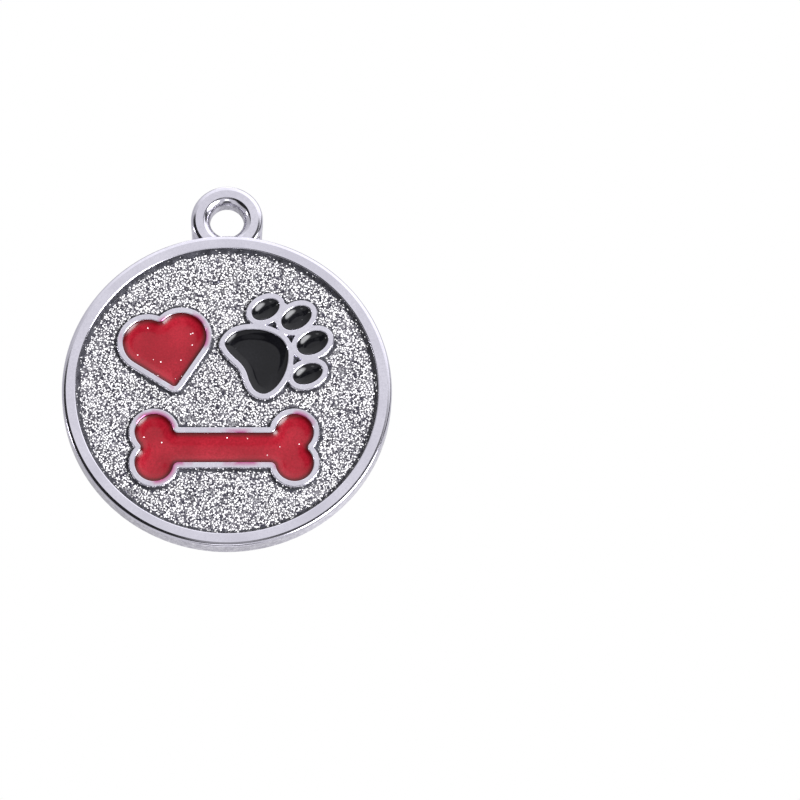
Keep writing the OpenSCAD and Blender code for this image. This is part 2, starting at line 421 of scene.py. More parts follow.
@dataclass(frozen=True)
class Paw(OnField):
    """A pad and four toes, as shares of the pad's width."""

    width_share: float = 0.4215
    at_shares: tuple[float, float] = (0.202, 0.197)
    pad_shares: tuple[tuple[float, float], ...] = (
        (-0.5, 0.34), (-0.36, 0.5), (-0.12, 0.56), (0.16, 0.53), (0.38, 0.41), (0.49, 0.22),
        (0.49, -0.02), (0.42, -0.24), (0.29, -0.43), (0.13, -0.53), (-0.02, -0.48),
        (-0.11, -0.33), (-0.17, -0.15), (-0.25, -0.02), (-0.37, 0.1), (-0.47, 0.22),
    )
    bearings: tuple[float, ...] = (81, 50, 20.5, -13.5)
    tilts: tuple[float, ...] = (32, 34, 29, 25)
    reach_shares: tuple[float, ...] = (0.919, 0.996, 0.957, 0.843)
    length_shares: tuple[float, ...] = (0.471, 0.518, 0.523, 0.487)
    breadth_shares: tuple[float, ...] = (0.309, 0.351, 0.361, 0.314)
    span_steps: int = 24
    turn_steps: int = 720

    def pad(self, count: int = 400) -> np.ndarray:
        """Draw the pad as a closed Catmull-Rom curve through its shares.

        Args:
            count: Points wanted.

        Returns:
            The outline, counter-clockwise.
        """
        p = np.array(self.pad_shares)
        a, c, d = np.roll(p, 1, 0), np.roll(p, -1, 0), np.roll(p, -2, 0)
        t = np.linspace(0, 1, self.span_steps, endpoint=False)[None, :, None]
        a, b, c, d = (q[:, None] for q in (a, p, c, d))
        square, cube = 2 * a - 5 * b + 4 * c - d, 3 * b - a - 3 * c + d
        curve = (2 * b + (c - a) * t + square * t**2 + cube * t**3) / 2
        return even_curve(self.at + self.width * curve.reshape(-1, 2), count)[::-1]

    def toe_centre(self, i: int) -> np.ndarray:
        """Return a toe's centre, from its bearing and reach."""
        a = math.radians(self.bearings[i])
        return self.at + self.width * self.reach_shares[i] * np.array([math.cos(a), math.sin(a)])

    def toe(self, i: int, count: int = 220) -> np.ndarray:
        """Draw a toe as an ellipse turned by its tilt.

        Args:
            i: The toe's place in the lists.
            count: Points wanted.

        Returns:
            The outline, counter-clockwise.
        """
        a = np.linspace(0, 2 * math.pi, self.turn_steps, endpoint=False)
        tilt = math.radians(self.tilts[i])
        along = self.width * self.length_shares[i] / 2 * np.cos(a)
        across = self.width * self.breadth_shares[i] / 2 * np.sin(a)
        u = along * math.cos(tilt) - across * math.sin(tilt)
        v = along * math.sin(tilt) + across * math.cos(tilt)
        return even_curve(self.toe_centre(i) + np.column_stack([u, v]), count)


@dataclass(frozen=True)
class Heart(OnField):
    """Two lobes that meet in a rounded notch and run to a rounded tip."""

    width_share: float = 0.565
    at_shares: tuple[float, float] = (-0.404, 0.272)
    tilt: float = 12.0
    lobe_share: float = 0.29289
    notch_r: float = 0.45 * MM
    tip_r: float = 0.25 * MM

    def outline(self, count: int = 420) -> np.ndarray:
        """Draw four arcs whose ends are joined by the straight sides.

        Args:
            count: Points wanted.

        Returns:
            The outline, counter-clockwise.
        """
        r, f = self.width * self.lobe_share, self.notch_r
        x = r / math.sqrt(2)
        rise = math.sqrt((r + f) ** 2 - x * x)
        a = math.degrees(math.atan2(rise, -x))
        points = np.vstack(
            [
                arc((x, x), r, -45, a),
                arc((0, x + rise), f, a - 180, -a),
                arc((-x, x), r, 180 - a, 225),
                arc((0, (self.tip_r - r) * math.sqrt(2)), self.tip_r, 225, 315),
            ]
        ) + np.array([0, (x - r) / 2])
        c, s = math.cos(math.radians(self.tilt)), math.sin(math.radians(self.tilt))
        return even_curve(self.at + points @ np.array([[c, s], [-s, c]]), count)


@dataclass(frozen=True)
class Bone(OnField):
    """Four knobs joined by a shaft, with every inner corner rounded."""

    width_share: float = 1.202
    at_shares: tuple[float, float] = (-0.018, -0.413)
    knob_share: float = 0.1274
    shaft_share: float = 0.2063
    spread_share: float = 0.86
    spine_share: float = 0.2
    corner_r: float = 0.45 * MM

    @property
    def knob_r(self) -> float:
        """Return the radius of a knob."""
        return self.field_r * self.knob_share

    def knob(self) -> tuple[float, float]:
        """Return the place of the upper right knob, from the bone's middle."""
        return self.width / 2 - self.knob_r, self.knob_r * self.spread_share

    def outline(self, count: int = 560) -> np.ndarray:
        """Draw a quarter of three arcs, mirrored and then turned round.

        Args:
            count: Points wanted.

        Returns:
            The outline, counter-clockwise.
        """
        k, f, (x, y) = self.knob_r, self.corner_r, self.knob()
        shaft_v = self.field_r * self.shaft_share / 2
        run = math.sqrt((k + f) ** 2 - y * y)
        drop = shaft_v + f - y
        back = math.sqrt((k + f) ** 2 - drop * drop)
        a = math.degrees(math.atan2(y, run))
        b = math.degrees(math.atan2(drop, -back))
        quarter = np.vstack(
            [
                arc((x + run, 0), f, 180, 180 - a),
                arc((x, y), k, -a, b),
                arc((x - back, shaft_v + f), f, b - 180, -90),
            ]
        )
        half = np.vstack([quarter, quarter[:0:-1] * [-1, 1]])
        return even_curve(self.at + np.vstack([half, -half]), count)

    def spine(self, curve: np.ndarray) -> np.ndarray:
        """Return the middle line's point that each point of the outline looks to."""
        reach = self.knob()[0] - self.knob_r * self.spine_share
        return np.column_stack(
            [np.clip(curve[:, 0] - self.at[0], -reach, reach), np.zeros(len(curve))]
        ) + self.at


@dataclass(frozen=True)
class FrontDesign:
    """The paw, the heart and the bone in their places on the glitter field."""

    paw: Paw
    heart: Heart
    bone: Bone

    @classmethod
    def on(cls, draw: Drawing) -> "FrontDesign":
        """Size and place the motifs by shares of the field's radius."""
        r = draw.glitter_r
        return cls(Paw(r), Heart(r), Bone(r))

    def outline(self, motif: Motif) -> np.ndarray:
        """Draw the outline of a motif's cell.

        Args:
            motif: The motif.

        Returns:
            The outline, counter-clockwise.
        """
        if motif is Motif.PAD:
            return self.paw.pad()
        if motif is Motif.HEART:
            return self.heart.outline()
        if motif is Motif.BONE:
            return self.bone.outline()
        return self.paw.toe(motif.toe)

    def middle(self, motif: Motif, curve: np.ndarray) -> np.ndarray:
        """Find the place inside a cell that each point of its outline looks to.

        Args:
            motif: The motif.
            curve: Its outline.

        Returns:
            One place for each point of the outline.
        """
        if motif is Motif.BONE:
            return self.bone.spine(curve)
        if motif is Motif.HEART:
            return np.broadcast_to(self.heart.at, curve.shape)
        centre = self.paw.at if motif is Motif.PAD else self.paw.toe_centre(motif.toe)
        return np.broadcast_to(centre, curve.shape)


# Finishes


class Wiring:
    """Short calls to add nodes to a tree and to join them."""

    def __init__(self, tree: bpy.types.NodeTree) -> None:
        """Take the tree."""
        self.tree = tree

    def node(self, kind: str, **values: object) -> bpy.types.Node:
        """Add a node and set its attributes.

        Args:
            kind: The node's type.
            values: Its attributes by name.

        Returns:
            The node.
        """
        made = self.tree.nodes.new(kind)
        for key, value in values.items():
            setattr(made, key, value)
        return made

    def link(self, source: Socket, target: Socket) -> None:
        """Join two sockets."""
        self.tree.links.new(source, target)

    def places(self) -> Socket:
        """Return Object coordinates."""
        return self.node("ShaderNodeTexCoord").outputs["Object"]

    def attribute(self, name: str) -> Socket:
        """Return a number that the piece carries at each of its points."""
        return self.node("ShaderNodeAttribute", attribute_name=name).outputs["Fac"]

    def multiply(self, first: Socket, second: Socket) -> Socket:
        """Multiply two values.

        Args:
            first: One value.
            second: The other value.

        Returns:
            The product.
        """
        made = self.node("ShaderNodeMath", operation="MULTIPLY")
        self.link(first, made.inputs[0])
        self.link(second, made.inputs[1])
        return made.outputs[0]

    def ramp(
        self,
        value: Socket,
        source: tuple[float, float],
        target: tuple[float, float] = (0, 1),
        smooth: bool = False,
    ) -> Socket:
        """Map one range of a value onto another.

        Args:
            value: The value.
            source: Its range.
            target: The range that it is mapped onto.
            smooth: Whether the way between the two ends is a smooth step.

        Returns:
            The mapped value, kept within its range.
        """
        kind = "SMOOTHSTEP" if smooth else "LINEAR"
        made = self.node("ShaderNodeMapRange", interpolation_type=kind)
        self.link(value, made.inputs["Value"])
        for name, number in zip(("From Min", "From Max", "To Min", "To Max"), (*source, *target)):
            made.inputs[name].default_value = number
        return made.outputs["Result"]

    def blend(self, factor: Socket, low: Colour | Socket, high: Colour | Socket) -> Socket:
        """Blend two colours by a mask.

        Args:
            factor: The mask.
            low: The colour where the mask is nought, as numbers or as a socket.
            high: The colour where the mask is one.

        Returns:
            The blended colour.
        """
        made = self.node("ShaderNodeMix", data_type="RGBA")
        self.link(factor, made.inputs["Factor"])
        for place, colour in zip(MIX_COLOURS, (low, high)):
            if isinstance(colour, tuple):
                made.inputs[place].default_value = (*colour, 1)
            else:
                self.link(colour, made.inputs[place])
        return made.outputs[2]


class Bench(Wiring):
    """A new material with its Principled shader."""

    def __init__(self, name: str) -> None:
        """Start the material.

        Args:
            name: The material's name.
        """
        self.material = bpy.data.materials.new(name)
        self.material.use_nodes = True
        super().__init__(self.material.node_tree)
        self.shader = self.tree.nodes["Principled BSDF"]

    def feed(self, name: str, source: Socket) -> None:
        """Join a socket to one of the shader's own."""
        self.link(source, self.shader.inputs[name])

    def set(self, **values: object) -> None:
        """Set the shader's own sockets, with spaces for underscores."""
        for key, value in values.items():
            self.shader.inputs[key.replace("_", " ")].default_value = value


def unevenness_group() -> bpy.types.NodeTree:
    """Build the shared effect: slow waves under fine grain, as a mask and as a normal.

    Returns:
        A node group with Vector, Wave Scale, Grain Scale, Wave Height and Grain Height
        in, and Mask and Normal out.
    """
    name = "cast_unevenness"
    if name in bpy.data.node_groups:
        return bpy.data.node_groups[name]
    tree = bpy.data.node_groups.new(name, "ShaderNodeTree")
    sizes = ("Wave Scale", "Grain Scale", "Wave Height", "Grain Height")
    sockets = [("Vector", "INPUT", "Vector"), *((label, "INPUT", "Float") for label in sizes)]
    sockets += [("Mask", "OUTPUT", "Float"), ("Normal", "OUTPUT", "Vector")]
    for label, way, kind in sockets:
        tree.interface.new_socket(label, in_out=way, socket_type=f"NodeSocket{kind}")
    wiring = Wiring(tree)
    given, result = wiring.node("NodeGroupInput"), wiring.node("NodeGroupOutput")
    normal, masks = None, []
    for label, detail in NOISE_DETAILS:
        noise = wiring.node("ShaderNodeTexNoise")
        noise.inputs["Detail"].default_value = detail
        wiring.link(given.outputs["Vector"], noise.inputs["Vector"])
        wiring.link(given.outputs[f"{label} Scale"], noise.inputs["Scale"])
        masks.append(noise.outputs["Fac"])
        bump = wiring.node("ShaderNodeBump")
        bump.inputs["Strength"].default_value = 1.0
        wiring.link(given.outputs[f"{label} Height"], bump.inputs["Distance"])
        wiring.link(noise.outputs["Fac"], bump.inputs["Height"])
        if normal is not None:
            wiring.link(normal, bump.inputs["Normal"])
        normal = bump.outputs["Normal"]
    wiring.link(wiring.multiply(*masks), result.inputs["Mask"])
    wiring.link(normal, result.inputs["Normal"])
    return tree


@dataclass(frozen=True)
class Unevenness:
    """How far a surface departs from a true one."""

    wave_scale: float
    wave_height: float
    grain_scale: float
    grain_height: float

    def on(self, bench: Bench) -> tuple[Socket, Socket]:
        """Wire the shared effect into a material.

        Args:
            bench: The material.

        Returns:
            The effect's mask and normal.
        """
        group = bench.node("ShaderNodeGroup", node_tree=unevenness_group())
        bench.link(bench.places(), group.inputs["Vector"])
        group.inputs["Wave Scale"].default_value = self.wave_scale
        group.inputs["Wave Height"].default_value = self.wave_height
        group.inputs["Grain Scale"].default_value = self.grain_scale
        group.inputs["Grain Height"].default_value = self.grain_height
        return group.outputs["Mask"], group.outputs["Normal"]


@dataclass(frozen=True)
class Finish:
    """A finish of one colour family, uneven in colour, gloss and surface.

    A painted shade may darken a fill towards its cell's wall (deep). Spilt red enamel, with a
    painted pink reflection, may tint the metal round a red cell (red_spill_and_sheen), and
    small specks may break the surface (speck).
    """

    name: str
    low: Colour
    high: Colour
    rough: tuple[float, float]
    uneven: Unevenness
    metallic: float = 0.0
    index: float = 1.5
    mask_range: tuple[float, float] = (0.12, 0.42)
    # Colour of the painted shade at a cell's wall (deep), and how far that shade reaches.
    deep: Colour | None = None
    wall_shade_reach: float = 0.42 * MM
    # Pink of spilt red enamel and of its painted reflection in the metal, in noisy patches.
    red_spill_and_sheen: Colour | None = None
    red_spill_and_sheen_scale: float = 330.0
    red_spill_and_sheen_range: tuple[float, float] = (0.47, 0.57)
    speck: Colour | None = None
    speck_scale: float = 1300.0
    speck_range: tuple[float, float] = (0.05, 0.08)

    def material(self) -> bpy.types.Material:
        """Make the material.

        Returns:
            The material.
        """
        bench = Bench(self.name)
        mask, normal = self.uneven.on(bench)
        spread = bench.ramp(mask, self.mask_range)
        colour = bench.blend(spread, self.low, self.high)
        for change in (self.wall_shaded, self.red_spill_and_sheen_tinted, self.speckled):
            colour = change(bench, colour)
        bench.feed("Base Color", colour)
        bench.feed("Normal", normal)
        bench.set(Metallic=self.metallic, IOR=self.index)
        if self.rough[0] == self.rough[1]:
            bench.set(Roughness=self.rough[0])
        else:
            bench.feed("Roughness", bench.ramp(spread, (0, 1), self.rough))
        return bench.material

    def wall_shaded(self, bench: Bench, colour: Socket) -> Socket:
        """Paint shade on a fill's colour, darker towards the wall of its cell.

        Args:
            bench: The material.
            colour: The fill's colour.

        Returns:
            The colour with its painted shade at the border, or as it was if the finish has none.
        """
        if self.deep is None:
            return colour
        # Painted shade: the fill darkens within reach of its cell's wall.
        open_share = bench.ramp(bench.attribute("wall_gap"), (0, self.wall_shade_reach), smooth=True)
        return bench.blend(open_share, self.deep, colour)

    def red_spill_and_sheen_tinted(self, bench: Bench, colour: Socket) -> Socket:
        """Tint pink the parts of the metal that border the red cells: spilt red enamel, and a painted
        reflection of the red enamel in the metal.

        Args:
            bench: The material.
            colour: The metal's colour.

        Returns:
            The tinted colour, or the colour as it was if the finish has no such tint.
        """
        if self.red_spill_and_sheen is None:
            return colour
        noise = bench.node("ShaderNodeTexNoise")
        noise.inputs["Scale"].default_value = self.red_spill_and_sheen_scale
        bench.link(bench.places(), noise.inputs["Vector"])
        patch = bench.ramp(noise.outputs["Fac"], self.red_spill_and_sheen_range, smooth=True)
        # Spilt enamel and painted red reflection, in patches near the red cells.
        share = bench.multiply(patch, bench.attribute("red_spill_and_sheen_share"))
        return bench.blend(share, colour, self.red_spill_and_sheen)

    def speckled(self, bench: Bench, colour: Socket) -> Socket:
        """Scatter small specks, where the surface cuts through the middle of a random cell.

        Args:
            bench: The material.
            colour: The colour between the specks.

        Returns:
            The speckled colour, or the colour as it was if the finish has no specks.
        """
        if self.speck is None:
            return colour
        cells = bench.node("ShaderNodeTexVoronoi")
        cells.inputs["Scale"].default_value = self.speck_scale
        bench.link(bench.places(), cells.inputs["Vector"])
        whole = bench.ramp(cells.outputs["Distance"], self.speck_range, smooth=True)
        return bench.blend(whole, self.speck, colour)


PLATING = Finish(
    name="bright_plating",
    low=(0.75, 0.73, 0.82),
    high=(0.89, 0.87, 0.96),
    rough=(0.10, 0.12),
    uneven=Unevenness(380.0, 0.004 * MM, 5200.0, 0.0004 * MM),
    metallic=1.0,
    # Pink near the red cells: spilt enamel and a painted reflection of the red enamel.
    red_spill_and_sheen=(0.66, 0.10, 0.34),
)
BACK_POLISH = Finish(
    name="back_polish",
    low=(0.87, 0.87, 0.875),
    high=(0.93, 0.93, 0.935),
    rough=(0.10, 0.13),
    uneven=Unevenness(300.0, 0.0012 * MM, 5200.0, 0.0002 * MM),
    metallic=1.0,
)
# The ring hole's wall: rougher, and darker in colour than the front's plating.
HOLE_PLATING = Finish(
    name="hole_plating",
    low=(0.30, 0.29, 0.33),
    high=(0.80, 0.78, 0.87),
    rough=(0.25, 0.42),
    uneven=Unevenness(2400.0, 0.012 * MM, 5200.0, 0.0),
    metallic=1.0,
)
SIDE_PLATING = Finish(
    name="side_plating",
    low=(0.50, 0.48, 0.56),
    high=(0.95, 0.93, 0.99),
    rough=(0.18, 0.30),
    uneven=Unevenness(2600.0, 0.005 * MM, 6000.0, 0.001 * MM),
    metallic=1.0,
)
RED_ENAMEL = Finish(
    name="red_enamel",
    low=(0.19, 0.004, 0.011),
    high=(0.275, 0.009, 0.020),
    rough=(0.12, 0.20),
    uneven=Unevenness(420.0, 0.010 * MM, 6000.0, 0.0003 * MM),
    index=1.42,
    # Painted shade along each cell's wall.
    deep=(0.055, 0.001, 0.002),
    speck=(0.95, 0.80, 0.82),
)
BLACK_ENAMEL = Finish(
    name="black_enamel",
    low=(0.003, 0.003, 0.004),
    high=(0.007, 0.007, 0.009),
    rough=(0.03, 0.08),
    uneven=Unevenness(420.0, 0.008 * MM, 6000.0, 0.0002 * MM),
    index=1.38,
    speck=(0.16, 0.16, 0.17),
    speck_range=(0.02, 0.05),
)
# Dark film on the walls round the glitter: resin crept up them, and painted shade at their feet.
RESIN_AND_SHADE_FILM = Finish(
    name="dark_resin_and_painted_shade_film",
    low=(0.019, 0.0188, 0.0238),
    high=(0.0669, 0.0662, 0.0795),
    rough=(0.2, 0.45),
    uneven=Unevenness(1600.0, 0.02 * MM, 7000.0, 0.004 * MM),
    index=1.3,
)
GLITTER_RESIN = Finish(
    name="glitter_resin",
    low=(0.045, 0.04, 0.053),
    high=(0.19, 0.18, 0.21),
    rough=(0.35, 0.35),
    uneven=Unevenness(900.0, 0.03 * MM, 5200.0, 0.02 * MM),
    metallic=0.35,
    mask_range=(0.15, 0.4),
)
BLACK_PAINT = Finish(
    name="black_paint",
    low=(0.003, 0.003, 0.004),
    high=(0.008, 0.008, 0.009),
    rough=(0.28, 0.45),
    uneven=Unevenness(900.0, 0.003 * MM, 9000.0, 0.001 * MM),
    index=1.2,
)


@dataclass(frozen=True)
class FlakeFoil:
    """The foil of the flakes, each with a tone of its own."""

    name: str = "silver_flake"
    dark: Colour = (0.0, 0.0, 0.02)
    bright: Colour = (1.0, 0.99, 1.0)
    rough: tuple[float, float] = (0.24, 0.10)
    metallic: float = 0.3

    def material(self) -> bpy.types.Material:
        """Make the material: a foil whose colour and gloss follow each flake's tone.

        Returns:
            The material.
        """
        bench = Bench(self.name)
        tone = bench.attribute("tone")
        bench.feed("Base Color", bench.blend(tone, self.dark, self.bright))
        bench.feed("Roughness", bench.ramp(tone, (0, 1), self.rough))
        bench.set(Metallic=self.metallic)
        return bench.material


# Pieces


def make_piece(
    name: str,
    surfaces: list[Surface],
    material: bpy.types.Material,
    slot: str,
    *nodes: str,
    values: dict[str, np.ndarray] | None = None,
) -> bpy.types.Object:
    """Join closed shells into one piece on the tag's body.

    Args:
        name: The piece's name.
        surfaces: Its shells.
        material: Its finish.
        slot: The record's material slot; not used.
        nodes: The CAD nodes that it stands for.
        values: Named attributes, one number for each point.

    Returns:
        The piece's object, at the origin.
    """
    points, faces, base = [], [], 0
    for surface in surfaces:
        points.append(surface.points)
        faces += (surface.quads + base).tolist() + (surface.triangles + base).tolist()
        faces += [(cap + base).tolist() for cap in surface.caps]
        base += len(surface.points)
    mesh = bpy.data.meshes.new(name)
    mesh.from_pydata(np.vstack(points).tolist(), [], faces)
    for label, numbers in (values or {}).items():
        mesh.attributes.new(label, "FLOAT", "POINT").data.foreach_set("value", numbers)
    mesh.materials.append(material)
    mesh.shade_smooth()
    mesh.set_sharp_from_angle(angle=SHARP_ANGLE)
    mesh.update()
    piece = bpy.data.objects.new(name, mesh)
    bpy.context.scene.collection.objects.link(piece)
    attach(piece, "root")
    if nodes:
        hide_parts(*nodes)
    LOG.info("%s: %d points, %d faces", name, len(mesh.vertices), len(mesh.polygons))
    return piece


class Part(Enum):
    """The parts of the casting with a finish of their own, by material slot."""

    FRONT = 0
    BACK = 1
    HOLE = 2
    SIDE = 3


@dataclass
class Casting:
    """The plated casting: disc, rim, hanging loop with its two feet, and raised outlines."""

    draw: Drawing
    design: FrontDesign
    rim_w: float = 1.02 * MM
    edge_r: float = 0.2 * MM
    bevel_w: float = 0.31 * MM
    bevel_fall: float = 0.22
    bevel_r: float = 0.06 * MM
    lip_r: float = 0.03 * MM
    lip_w: float = 0.06 * MM
    lip_fall: float = 0.36
    floor_r: float = 0.02 * MM
    floor_drop: float = 0.4 * MM
    paint_relief: float = 0.003 * MM
    hole_r: float = 1.3 * MM
    loop_t: float = 1.5 * MM
    loop_edge_r: float = 0.24 * MM
    loop_bevel_w: float = 0.36 * MM
    hole_front_r: float = 0.62 * MM
    hole_back_r: float = 0.2 * MM
    foot_inset: float = 0.02 * MM
    foot_taper: float = 0.08 * MM
    foot_flare: float = 0.14 * MM
    flare_reach: float = 0.14 * MM
    foot_t: float = 1.12 * MM
    foot_round: float = 0.45 * MM
    crown_w: float = 0.44 * MM
    outline_drop: float = 0.05 * MM
    crown_inner_r: float = 0.07 * MM
    crown_outer_r: float = 0.05 * MM
    outline_draft: float = 0.02 * MM
    outline_skirt: float = 0.19 * MM
    crown_step: float = 0.001 * MM
    web_reach: float = 0.10 * MM
    web_margin: float = 0.02 * MM
    web_stop: float = 0.2 * MM
    # Reach of the pink of spilt enamel and painted reflection round a red cell.
    red_spill_and_sheen_w: float = 0.42 * MM
    back_facing: float = 0.99
    hole_reach_share: float = 1.12
    hole_facing: float = 0.6
    side_reach_share: float = 0.1
    side_facing: float = 0.5
    disc_steps: int = 400
    loop_steps: int = 260
    foot_rows: int = 48
    web_steps: int = 120

    def recess_r(self) -> float:
        """Return the radius of the rim's inner edge."""
        return self.draw.disc_r - self.rim_w

    def lip_h(self) -> float:
        """Return the height of the foot of the bevel at the rim's inner edge."""
        return self.draw.thickness - self.lip_w * self.lip_fall

    def outline_h(self) -> float:
        """Return the height of the raised outlines."""
        return self.draw.thickness - self.outline_drop

    def hole_v(self) -> float:
        """Return the height of the ring hole over the disc's centre."""
        return -self.draw.centre_z

    def shoulder(
        self, radius: float, height: float, width: float, edge_r: float
    ) -> list[tuple[float, float, float]]:
        """Return the two corners of a front edge that is bevelled and then rounded."""
        drop = width * self.bevel_fall
        return [(radius, height - drop, edge_r), (radius - width, height, self.bevel_r)]

    def disc(self) -> Surface:
        """Turn the section of the back, the side, the rim and the sunk floor.

        Returns:
            The closed shell.
        """
        d, recess_r = self.draw, self.recess_r()
        floor_h = d.glitter_h - self.floor_drop
        profile = rounded_profile(
            [
                (0, self.paint_relief, 0),
                (d.disc_r, self.paint_relief, self.edge_r),
                *self.shoulder(d.disc_r, d.thickness, self.bevel_w, self.edge_r),
                (recess_r + self.lip_w, d.thickness, self.lip_r),
                (recess_r, self.lip_h(), self.lip_r),
                (d.glitter_r, d.glitter_h - self.outline_drop, self.floor_r),
                (d.glitter_r, floor_h, self.floor_r),
                (0, floor_h, 0),
            ],
            closed=False,
        )
        return turned(d, profile, self.disc_steps)

    def loop(self) -> Surface:
        """Turn the section of the loop, wide at its back and rounded at its front.

        Returns:
            The closed ring, cut level inside the disc's rim.
        """
        d = self.draw
        profile = rounded_profile(
            [
                (self.hole_r, self.paint_relief / 3, self.hole_back_r),
                (d.loop_r, self.paint_relief / 3, self.loop_edge_r),
                *self.shoulder(d.loop_r, self.loop_t, self.loop_bevel_w, self.loop_edge_r),
                (self.hole_r, self.loop_t, self.hole_front_r),
            ],
            closed=True,
            steps=11,
        )
        end_v = d.disc_r - self.rim_w / 2
        return turned(d, profile, self.loop_steps, (0, self.hole_v()), end_v)

    def foot(self, side: float) -> Surface:
        """Raise the foot at one side of the loop.

        Its section is level inside the ring and rounds over to the side. The side narrows
        a little on its way down and flares by an exponential where it meets the disc.

        Args:
            side: 1 for the right foot, -1 for the left one.

        Returns:
            The closed shell.
        """
        d, top_v = self.draw, self.hole_v()
        low_v = math.sqrt(d.disc_r**2 - d.loop_r**2)
        v = np.linspace(top_v, low_v - self.edge_r, self.foot_rows)[:, None]
        down = (top_v - v) / (top_v - low_v)
        flare = self.foot_flare * np.exp(-np.abs(v - low_v) / self.flare_reach)
        outer = d.loop_r - self.foot_inset - self.foot_taper * down + flare * down
        mid_r = (self.hole_r + d.loop_r) / 2
        inner = np.sqrt(np.maximum(mid_r**2 - (v - top_v) ** 2, 0))
        profile = rounded_profile(
            [
                (1, self.paint_relief * 2 / 3, 0),
                (0, self.paint_relief * 2 / 3, self.loop_edge_r),
                (0, self.foot_t, self.foot_round),
                (1, self.foot_t, 0),
            ],
            closed=False,
            steps=12,
        )
        deep = profile[None, :, 0] == 1
        u = np.where(deep, inner, outer - profile[None, :, 0])
        flat = np.stack(np.broadcast_arrays(side * u, v), axis=-1)
        return capped(d.place(flat, profile[None, :, 1]))

    def outline(self, motif: Motif, step: int) -> Surface:
        """Raise the outline of a motif's cell.

        Args:
            motif: The motif.
            step: How many crown steps the outline stays under the highest, so that
                crowns which cross never share a plane.

        Returns:
            The closed tube.
        """
        top = self.outline_h() - step * self.crown_step
        low = self.draw.glitter_h - self.outline_drop
        profile = rounded_profile(
            [
                (0, low - 2 * self.outline_drop, 0),
                (self.outline_draft, top, self.crown_inner_r),
                (self.crown_w, top, self.crown_outer_r),
                (self.crown_w + self.outline_skirt, low, 0),
            ],
            closed=True,
            steps=6,
        )
        curve = self.design.outline(motif)
        return swept(self.draw, curve, profile, self.web_spread(motif, curve))

    def web_spread(self, motif: Motif, curve: np.ndarray) -> np.ndarray | float:
        """Say how much wider an outline grows where another cell of the paw is near.

        Where the gap to the next cell is under two crowns the crown reaches almost to
        that cell, and a smooth step takes it back to its own width beyond.

        Args:
            motif: The motif.
            curve: Its outline.

        Returns:
            The extra width at each point, none for a motif that stands alone.
        """
        if motif.is_red:
            return 0.0
        cells = [m for m in Motif if not m.is_red and m is not motif]
        others = np.vstack([self.design.outline(m) for m in cells])
        gap = distance_to(curve, others)
        near = np.clip((2 * self.crown_w + self.web_margin - gap) / self.web_reach, 0, 1)
        extra = np.clip(gap - self.crown_w - self.web_stop, 0, None)
        return extra * near * near * (3 - 2 * near)

    def web_corners(self) -> np.ndarray:
        """Return the pad's and the toes' centres, round the gaps between them."""
        paw = self.design.paw
        return np.vstack([paw.at, [paw.toe_centre(i) for i in range(4)]])

    def web_floor(self) -> Surface:
        """Fill the floor of the gaps between the toes and the pad.

        Returns:
            The closed slab.
        """
        top = self.draw.glitter_h - 2 * self.outline_drop
        ring = even_curve(self.web_corners(), self.web_steps)[::-1]
        return capped(self.draw.place(ring[None], np.array([[top - self.outline_drop], [top]])))

    def build(self) -> None:
        """Build and dress the casting."""
        shells = [self.disc(), self.loop(), self.foot(1), self.foot(-1), self.web_floor()]
        shells += [self.outline(motif, i) for i, motif in enumerate(Motif)]
        piece = make_piece(
            "tag_casting",
            shells,
            PLATING.material(),
            "plated_metal",
            "tag_body",
            values={"red_spill_and_sheen_share": self.red_spill_and_sheen_share(np.vstack([s.points for s in shells]))},
        )
        self.dress(piece.data)

    def red_spill_and_sheen_share(self, points: np.ndarray) -> np.ndarray:
        """Say how strongly the metal at each point takes the pink of spilt red enamel and of its
        painted reflection.

        It falls in a straight line from one at the wall of a red cell to nought at the tint's
        reach.

        Args:
            points: The casting's points.

        Returns:
            The share at each point.
        """
        flat = points[:, [0, 2]] - (0, self.draw.centre_z)
        front = points[:, 1] < self.draw.back_y - self.draw.glitter_h
        share = np.zeros(len(points))
        for motif in (m for m in Motif if m.is_red):
            gap = distance_to(flat[front], self.design.outline(motif))
            share[front] = np.maximum(share[front], 1 - gap / self.red_spill_and_sheen_w)
        return share

    def dress(self, mesh: bpy.types.Mesh) -> None:
        """Polish the flat back and leave the side and the ring hole's wall rougher, the
        hole's wall also darker.

        Args:
            mesh: The casting's mesh, which gets these finishes beside its plating.
        """
        count = len(mesh.polygons)
        middles, normals = np.empty(3 * count), np.empty(3 * count)
        mesh.polygons.foreach_get("center", middles)
        mesh.polygons.foreach_get("normal", normals)
        x, _, z = middles.reshape(-1, 3).T
        facing = normals.reshape(-1, 3)[:, 1]
        at_hole = np.hypot(x, z) < self.hole_reach_share * self.hole_r
        from_side = np.abs(np.hypot(x, z - self.draw.centre_z) - self.draw.disc_r)
        at_side = from_side < self.side_reach_share * self.edge_r
        part = np.full(count, Part.FRONT.value, np.int32)
        part[facing > self.back_facing] = Part.BACK.value
        part[at_hole & (np.abs(facing) < self.hole_facing)] = Part.HOLE.value
        part[at_side & (np.abs(facing) < self.side_facing)] = Part.SIDE.value
        for finish in (BACK_POLISH, HOLE_PLATING, SIDE_PLATING):
            mesh.materials.append(finish.material())
        mesh.polygons.foreach_set("material_index", part)


